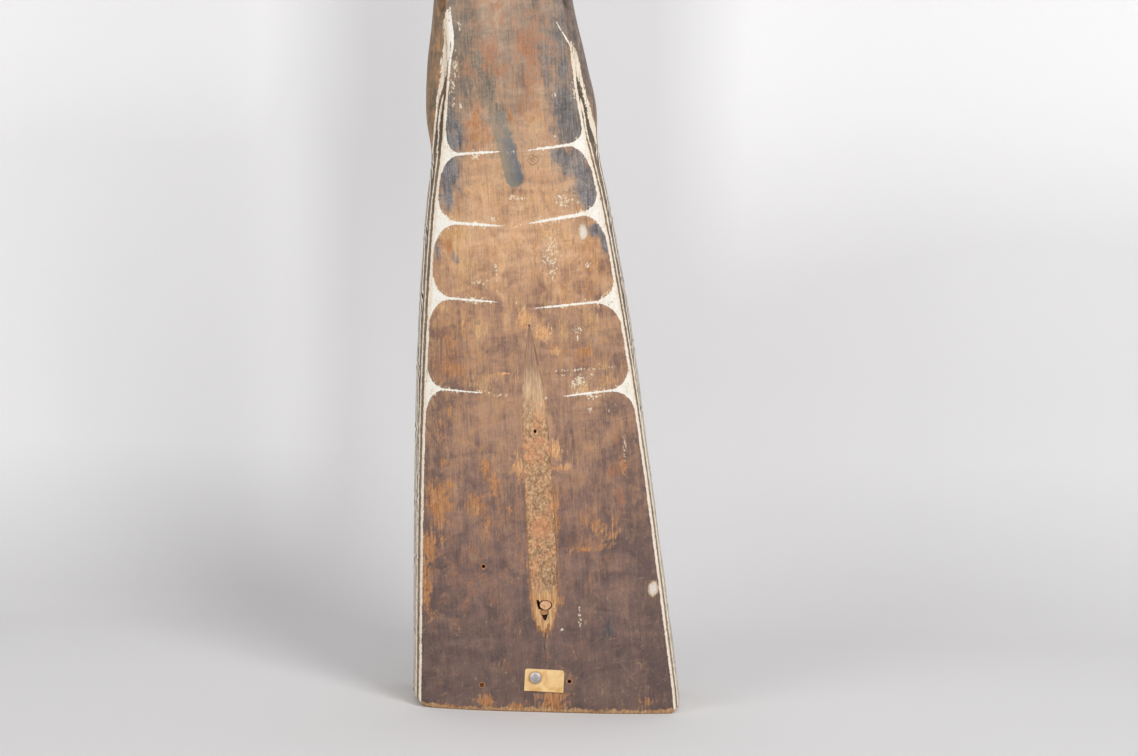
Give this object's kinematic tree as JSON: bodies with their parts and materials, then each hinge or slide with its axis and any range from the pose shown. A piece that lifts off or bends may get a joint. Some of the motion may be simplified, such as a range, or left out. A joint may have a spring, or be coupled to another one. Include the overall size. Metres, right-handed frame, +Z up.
{
  "type": "carved canoe prow",
  "caption": "Carved wooden canoe prow with a long animal head, standing on its sawn butt, with a card tag that turns on a drawing pin.",
  "frame": {"origin": "middle of the sawn butt face, on the surface the prow stands on", "axes": "+Z up, along the prow towards the tip of the snout; -Y is the way the painted face looks; +X to the right as seen from the front"},
  "size_m": [0.2408, 0.1221, 1.0501],
  "materials": {
    "timber": "weathered hardwood with lime paint",
    "filling": "granular dry filling",
    "plug_wood": "pale dry wood",
    "rusty_iron": "rusted",
    "manila_card": "matt manila card",
    "pin_steel": "dull plated steel"
  },
  "bodies": {
    "prow": {"prow_timber": "timber", "heart_filling": "filling", "heart_plug": "plug_wood", "nail_stub": "rusty_iron", "drawing_pin": "pin_steel"},
    "tag": {"paper_tag": "manila_card"}
  },
  "joints": [
    {"name": "tag_swivel", "type": "hinge", "parent": "prow", "child": "tag", "pos_m": [-0.0107, -0.05947, 0.03044], "axis": [0, 0.9998, -0.0209], "range_deg": [-180, 30]}
  ]
}
